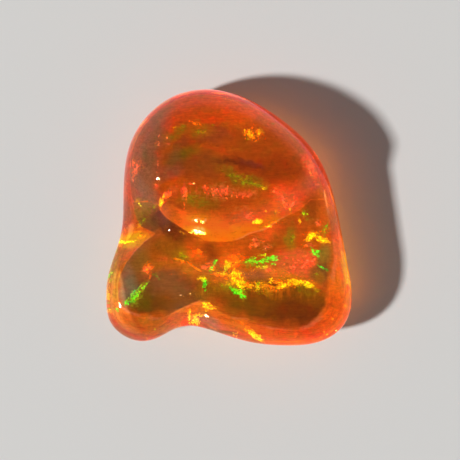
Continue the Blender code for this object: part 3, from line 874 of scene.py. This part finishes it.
def crescent_colours(places, loose):
    """The crescent's colours, with how strongly they show at each place as alpha."""
    x, y = places[:, 0], places[:, 1]
    tints = painted(loose, CRESCENT_COLOUR, CRESCENT_ZONES)
    fade = eased(loose[:, 0], CRESCENT_FADES)
    loose_y = (1 - CRESCENT_LOOSENESS) * y + CRESCENT_LOOSENESS * loose[:, 1]
    upwards = (loose_y - eased(x, CRESCENT_EDGE)) / eased(x, CRESCENT_WIDTHS)
    tints[:, 3] = smooth_step(upwards, 1 + fade / 2, 1 - fade)
    line = window(upwards, *CRESCENT_LINE_SPAN) * smooth_step(x, *CRESCENT_LINE_ENDS)
    line_tint = np.array(colour(CRESCENT_LINE)) * (1, 1, 1, CRESCENT_LINE_STRENGTH)
    return tints + line[:, None] * (line_tint - tints)


def halos():
    """Zones round the patches of flakes."""
    return [
        (x, y, across * HALO_REACH, along * HALO_REACH, turn, HALO_SOFTNESS, tint, strength)
        for family, (tint, strength) in HALOS.items()
        for x, y, across, along, turn, _, length in FIRES[family]
        if length > DUST
    ]


def add_stone_attributes(mesh):
    """What the stone's material reads at each point."""
    places = as_seen(mesh_places(mesh))
    loose = places
    for fineness, amount in ZONE_PUSHES:
        loose = pushed(loose, fineness, amount)
    x, y, z = places.T
    way = outline_distance(places)
    rim = painted(loose, RIM_COLOUR, RIM_ZONES)
    rim[:, 3] = smooth_step(z, *RIM_HEIGHTS)
    attributes = {
        "rim_share": rim_share(places, way),
        "outline_way": way,
        "crescent_edge": y - eased(x, CRESCENT_EDGE),
        # Where the painted highlight over the crescent's edge shows
        "crescent_glint": window(x, *GLINT_SPAN) * smooth_step(z, *GLINT_HEIGHTS),
        "fire": layer(loose, halos()),
        "hanging": layer(loose, HANGING_ZONES),
        "dashes": layer(loose, DASH_ZONES),
        "ground": painted(loose, GROUND_COLOUR, GROUND_ZONES),
        "under": painted(loose, UNDER_COLOUR, UNDER_ZONES),
        "crescent": crescent_colours(places, loose),
        "rim": rim,
    }
    for name, values in attributes.items():
        add_attribute(mesh, name, values)


# Layers that noise breaks up: how fine the noise is along X, Y and Z, and how soft its edges are
LAYERS = (
    ("hanging", (3.0, 0.6, 2.0), 0.16),
    ("dashes", (5.5, 1.1, 4.0), 0.08),
    ("fire", (4.0, 8.0, 6.0), 0.11),
)

# A layer shows where its noise, lifted by this share of its strength, is over this level. Its
# places are first pushed about: the fineness of that noise, and how far it pushes
LAYER_LIFT = 0.30
LAYER_LEVEL = 0.74
LAYER_WARP = (1.5, 0.3)

# Where noise counts as high from, and where it begins to count as low and is lowest
HIGH_NOISE_FROM = 0.52
LOW_NOISE = (0.48, 0.3)

# Pale and dark lines that follow the rim: how fine they are across and along it, and how each
# changes the red, green and blue
RIM_LINES_ACROSS = 4.5
RIM_LINES_ALONG = 0.45
PALE_LINES = (1.15, 1.35, 2.2)
DARK_LINES = (0.72, 0.5, 0.5)

# The rim's inner edge in units of its softness: how ragged it is, where the rim begins and is full,
# and the two sides of the pale line along it, a painted highlight, which noise between two levels
# breaks up
RIM_RAGGEDNESS = 1.2
RIM_SPAN = (2.0, 0.0)
RIM_LINE_OUTER = (-0.6, 0.5)
RIM_LINE_INNER = (1.8, 0.9)
RIM_LINE_BREAKS = (0.45, 0.65)
RIM_HIGHLIGHT_COLOUR = 0xFA9668
RIM_HIGHLIGHT_STRENGTH = 0.45

# Mottles that are redder or greener than the rest, bands across the stone, and grain: how fine
# each is, how its places are pushed about, how mottles change the red, green and blue, and how
# dark and bright bands and grain are
MOTTLE_FINENESS = 1.3
MOTTLE_WARP = (1.2, 0.6)
RED_MOTTLES = (1.25, 0.78, 0.9)
GREEN_MOTTLES = (0.8, 1.15, 1.0)
BAND_FINENESS = (0.9, 8.0, 8.0)
BAND_WARP = (0.6, 0.5)
BAND_LIGHT = (0.55, 1.45)
GRAIN_FINENESS = 4.5
GRAIN_LIGHT = (0.5, 1.5)


def varied(graph, tint, noise, highest, high_factors, low_factors):
    """A tint changed by some factors where noise is high, and by others where it is low."""
    high = graph.smooth_range(noise, HIGH_NOISE_FROM, highest)
    tint = graph.mix(high, tint, graph.times(tint, high_factors))
    return graph.mix(graph.smooth_range(noise, *LOW_NOISE), tint, graph.times(tint, low_factors))


def rim_tint(graph, places):
    """The rim's colours, with pale and dark lines that follow the outline."""
    place = graph.node("ShaderNodeSeparateXYZ", {0: places}).outputs
    inputs = {
        "X": graph.product(graph.attribute("outline_way"), RIM_LINES_ACROSS),
        "Y": graph.product(place["X"], RIM_LINES_ALONG),
        "Z": graph.product(place["Y"], RIM_LINES_ALONG),
    }
    lines = graph.noise(graph.node("ShaderNodeCombineXYZ", inputs).outputs[0], 1.0, 4.0, 0.6)
    return varied(graph, graph.attribute("rim", "Vector"), lines, 0.7, PALE_LINES, DARK_LINES)


def with_crescent(graph, tint, upper):
    """Lays the crescent over a tint, crisp along its lower edge, and the painted highlight, a
    bright line, over that.
    """
    edge = graph.attribute("crescent_edge")
    over_edge = graph.smooth_range(edge, *CRESCENT_ONSET)
    amount = graph.product(over_edge, graph.attribute("crescent_strength"), upper)
    tint = graph.mix(amount, tint, graph.attribute("crescent", "Vector"))
    near_edge = graph.smooth_range(edge, *GLINT_RISE)
    glint = graph.product(over_edge, near_edge, graph.attribute("crescent_glint"), GLINT_STRENGTH)
    return graph.mix(glint, tint, colour(GLINT_COLOUR))


def with_layers(graph, tint, places, upper):
    """Lays the layers that noise breaks up over a tint."""
    warped = graph.warped(places, *LAYER_WARP)
    for name, fineness, softness in LAYERS:
        noise = graph.noise(graph.times(warped, fineness), 1.0, 3.0, 0.6)
        strength = graph.attribute(f"{name}_strength")
        lifted = graph.math("MULTIPLY_ADD", strength, LAYER_LIFT, noise)
        spread = graph.smooth_range(lifted, LAYER_LEVEL - softness, LAYER_LEVEL + softness)
        amount = graph.product(spread, strength, upper)
        tint = graph.mix(amount, tint, graph.attribute(name, "Vector"))
    return tint


def with_rim(graph, tint, places):
    """Lays the rim and its painted glow over a tint, with a ragged inner edge and a broken pale
    line along it, a painted highlight.
    """
    ragged = graph.between(graph.noise(places, 1.6, 3.0), -RIM_RAGGEDNESS, RIM_RAGGEDNESS)
    share = graph.math("ADD", graph.attribute("rim_share"), ragged)
    on_rim = graph.smooth_range(share, *RIM_SPAN)
    on_rim = graph.product(on_rim, graph.attribute("rim_strength"))
    tint = graph.mix(on_rim, tint, rim_tint(graph, places))
    outer = graph.smooth_range(share, *RIM_LINE_OUTER)
    inner = graph.smooth_range(share, *RIM_LINE_INNER)
    broken = graph.smooth_range(graph.noise(places, 0.8, 2.0), *RIM_LINE_BREAKS)
    line = graph.product(outer, inner, broken, RIM_HIGHLIGHT_STRENGTH)
    return graph.mix(line, tint, colour(RIM_HIGHLIGHT_COLOUR))


def body_material():
    """The see-through stone: zones of colour, some painted light and shade, and a painted glow by
    emission.
    """
    graph = Graph(bpy.data.materials.new("fire_opal_body"))
    places = graph.places()
    height = graph.node("ShaderNodeSeparateXYZ", {0: places}).outputs["Z"]
    upper = graph.smooth_range(height, *UPPER_HEIGHTS)
    tint = graph.mix(upper, graph.attribute("under", "Vector"), graph.attribute("ground", "Vector"))
    tint = with_crescent(graph, tint, upper)
    tint = with_layers(graph, tint, places, upper)
    tint = with_rim(graph, tint, places)
    mottle = graph.noise(graph.warped(places, *MOTTLE_WARP), MOTTLE_FINENESS, 4.0)
    tint = varied(graph, tint, mottle, 0.72, RED_MOTTLES, GREEN_MOTTLES)
    banded = graph.times(graph.warped(places, *BAND_WARP), BAND_FINENESS)
    bands = graph.noise(banded, 1.0, 4.0)
    tint = graph.scaled(tint, graph.between(bands, *BAND_LIGHT))
    grain = graph.noise(places, GRAIN_FINENESS, 4.0, 0.65)
    tint = graph.scaled(tint, graph.between(grain, *GRAIN_LIGHT))
    walls = graph.smooth_range(height, *WALL_HEIGHTS)
    passing = graph.mix(walls, colour(FLAT_TINT), colour(WALL_TINT))
    # The tint also glows by emission, a painted glow
    graph.shade({
        "Base Color": graph.mix(upper, passing, tint),
        "Emission Color": graph.scaled(tint, graph.between(upper, PAINTED_GLOW_UNDER, 1.0)),
        "Emission Strength": PAINTED_GLOW,
        "Roughness": BODY_ROUGHNESS,
        "IOR": BODY_IOR,
        "Transmission Weight": 1.0,
    })
    absorption = {"Color": ABSORPTION_COLOUR, "Density": ABSORPTION_PER_MM / MM}
    volume = graph.node("ShaderNodeVolumeAbsorption", absorption).outputs[0]
    graph.feed(graph.tree.nodes["Material Output"], {"Volume": volume})
    graph.owner.cycles.emission_sampling = "NONE"
    return graph.owner


def flake_places(middle, length, turn, generator):
    """A thin jagged platelet: a ring of corners with a point above it and one below."""
    corners = generator.integers(*FLAKE_CORNERS)
    uneven = generator.uniform(-FLAKE_UNEVENNESS, FLAKE_UNEVENNESS, corners)
    around = (np.arange(corners) + uneven) * 2 * math.pi / corners
    reach = generator.uniform(*FLAKE_REACHES, corners) * length / 2
    width = generator.uniform(*FLAKE_WIDTHS)
    x, y = np.cos(around) * reach, np.sin(around) * reach * width
    ring = np.column_stack([x, y, np.zeros(corners)])
    tips = np.array([(0, 0, FLAKE_HALF_THICKNESS), (0, 0, -FLAKE_HALF_THICKNESS)])
    leans = generator.uniform(-FLAKE_LEAN, FLAKE_LEAN, 2)
    turned = Euler((*leans, turn), "XYZ").to_matrix()
    return np.vstack([ring, tips]) @ np.array(turned).T + middle


def flake_middle(surface, patch, clump, generator):
    """A place for a flake a little under the upper side, or None where there is no room."""
    camera = Vector(CAMERA_PLACE)
    at_x, at_y, across, along, turn, _, length = patch
    cosine, sine = math.cos(math.radians(turn)), math.sin(math.radians(turn))
    for _ in range(FLAKE_TRIES):
        off_x, off_y = (clump + generator.normal(0, CLUMP_SPREAD, 2)) * (across, along)
        x = at_x + off_x * cosine - off_y * sine
        y = at_y + off_x * sine + off_y * cosine
        top = surface.ray_cast(camera, Vector((x, y, GIRDLE_HEIGHT)) - camera)[0]
        if top is None:
            continue
        middle = (top.x, top.y, top.z - generator.uniform(*FLAKE_DEPTHS))
        if surface.find_nearest(middle)[3] > length / 2 + FLAKE_CLEARANCE:
            return middle
    return None


def make_flakes(family, surface, generator):
    """All flakes of one colour, as one piece."""
    places, faces, sparks = [], [], []
    for patch in FIRES[family]:
        *_, turn, count, length = patch
        for i in range(round(count * FLAKE_DENSITY)):
            if i % CLUMP == 0:
                clump = generator.normal(0, CLUMP_SCATTER, 2)
                shine = generator.uniform(*CLUMP_SHINES)
            middle = flake_middle(surface, patch, clump, generator)
            if middle is None:
                continue
            heading = math.radians(turn + generator.normal(0, FLAKE_TURN_SPREAD))
            own_length = length * generator.uniform(*FLAKE_LENGTHS)
            flake = flake_places(middle, own_length, heading, generator)
            first, corners = len(places), len(flake) - 2
            for corner in range(corners):
                here, after = first + corner, first + (corner + 1) % corners
                faces += [(here, after, first + corners), (after, here, first + corners + 1)]
            places.extend(flake)
            spark = CLUMP_SHARE * shine + (1 - CLUMP_SHARE) * generator.uniform(0, 1)
            sparks.extend([spark] * len(flake))
    flakes = add_piece(f"flakes_{family}", places, faces, fire_material(family))
    add_attribute(flakes.data, "spark", np.array(sparks))
    return flakes


def fire_material(family):
    """The painted glow of one family, by emission, brighter in some flakes than in others and
    uneven across each.
    """
    graph = Graph(bpy.data.materials.new(f"fire_{family}"))
    dim, bright, strength = FIRE_LIGHTS[family]
    spark = graph.attribute("spark")
    uneven = graph.noise(graph.places(), FLAKE_FINENESS, 2.0)
    brightness = graph.smooth_range(graph.math("ADD", spark, uneven), *SPARK_SPAN)
    tint = graph.mix(brightness, colour(dim), colour(bright))
    level = graph.between(graph.math("POWER", spark, SPARK_POWER), *SPARK_LIGHT)
    graph.shade({
        "Base Color": tint,
        "Emission Color": graph.scaled(tint, graph.product(level, UNEVEN_LIGHT, uneven)),
        "Emission Strength": strength,
        "Roughness": FLAKE_ROUGHNESS,
    })
    graph.owner.cycles.emission_sampling = "NONE"
    return graph.owner


def make_floor():
    graph = Graph(bpy.data.materials.new("pale_floor"))
    graph.shade({"Base Color": FLOOR_COLOUR, "Roughness": 1.0, "Specular IOR Level": 0.1})
    sides = ((-1, -1), (1, -1), (1, 1), (-1, 1))
    corners = [(x * FLOOR_HALF, y * FLOOR_HALF, -FLOOR_GAP) for x, y in sides]
    floor = add_piece("floor", corners, [(0, 1, 2, 3)], graph.owner)


def make_lamp():
    """A square soft lamp that looks at the stone."""
    light = bpy.data.lights.new("key", "AREA")
    light.size = LAMP_SIZE * MM
    light.energy = LAMP_POWER
    lamp = bpy.data.objects.new("key", light)
    bpy.context.scene.collection.objects.link(lamp)
    around, up = math.radians(LAMP_TURN), math.radians(LAMP_ELEVATION)
    x, y, z = math.cos(around) * math.cos(up), math.sin(around) * math.cos(up), math.sin(up)
    lamp.location = np.array([x, y, z]) * LAMP_DISTANCE * MM
    lamp.rotation_euler = (-lamp.location).to_track_quat("-Z", "Y").to_euler()


def make_surroundings():
    """Soft light from all round, dimmer overhead."""
    world = bpy.data.worlds.new("studio")
    graph = Graph(world)
    direction = graph.node("ShaderNodeTexCoord").outputs["Generated"]
    up = graph.node("ShaderNodeSeparateXYZ", {0: direction}).outputs["Z"]
    low = graph.math("POWER", graph.math("SUBTRACT", 1.0, up), HORIZON_NARROWNESS)
    strength = graph.between(low, ZENITH_LIGHT, HORIZON_LIGHT)
    background = graph.tree.nodes["Background"]
    graph.feed(background, {"Color": SURROUNDINGS_COLOUR, "Strength": strength})
    bpy.context.scene.world = world


def make_camera():
    camera = bpy.data.cameras.new("camera")
    camera.lens = LENS
    camera.sensor_width = SENSOR
    camera.clip_start = MM
    camera.clip_end = 10.0
    holder = bpy.data.objects.new("camera", camera)
    holder.location = [value * MM for value in CAMERA_PLACE]
    bpy.context.scene.collection.objects.link(holder)
    bpy.context.scene.camera = holder


def main():
    seed_set(NOISE_SEED)
    stone = make_stone(body_material())
    add_stone_attributes(stone.data)
    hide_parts("opal")
    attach(stone, "root")
    surface = BVHTree.FromPolygons(
        mesh_places(stone.data).tolist(), [list(face.vertices) for face in stone.data.polygons]
    )
    generator = np.random.default_rng(FLAKE_SEED)
    for family in FIRES:
        flakes = make_flakes(family, surface, generator)
        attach(flakes, "root")
    make_floor()
    make_lamp()
    make_surroundings()
    make_camera()
    bpy.context.scene.view_settings.view_transform = "Standard"


main()
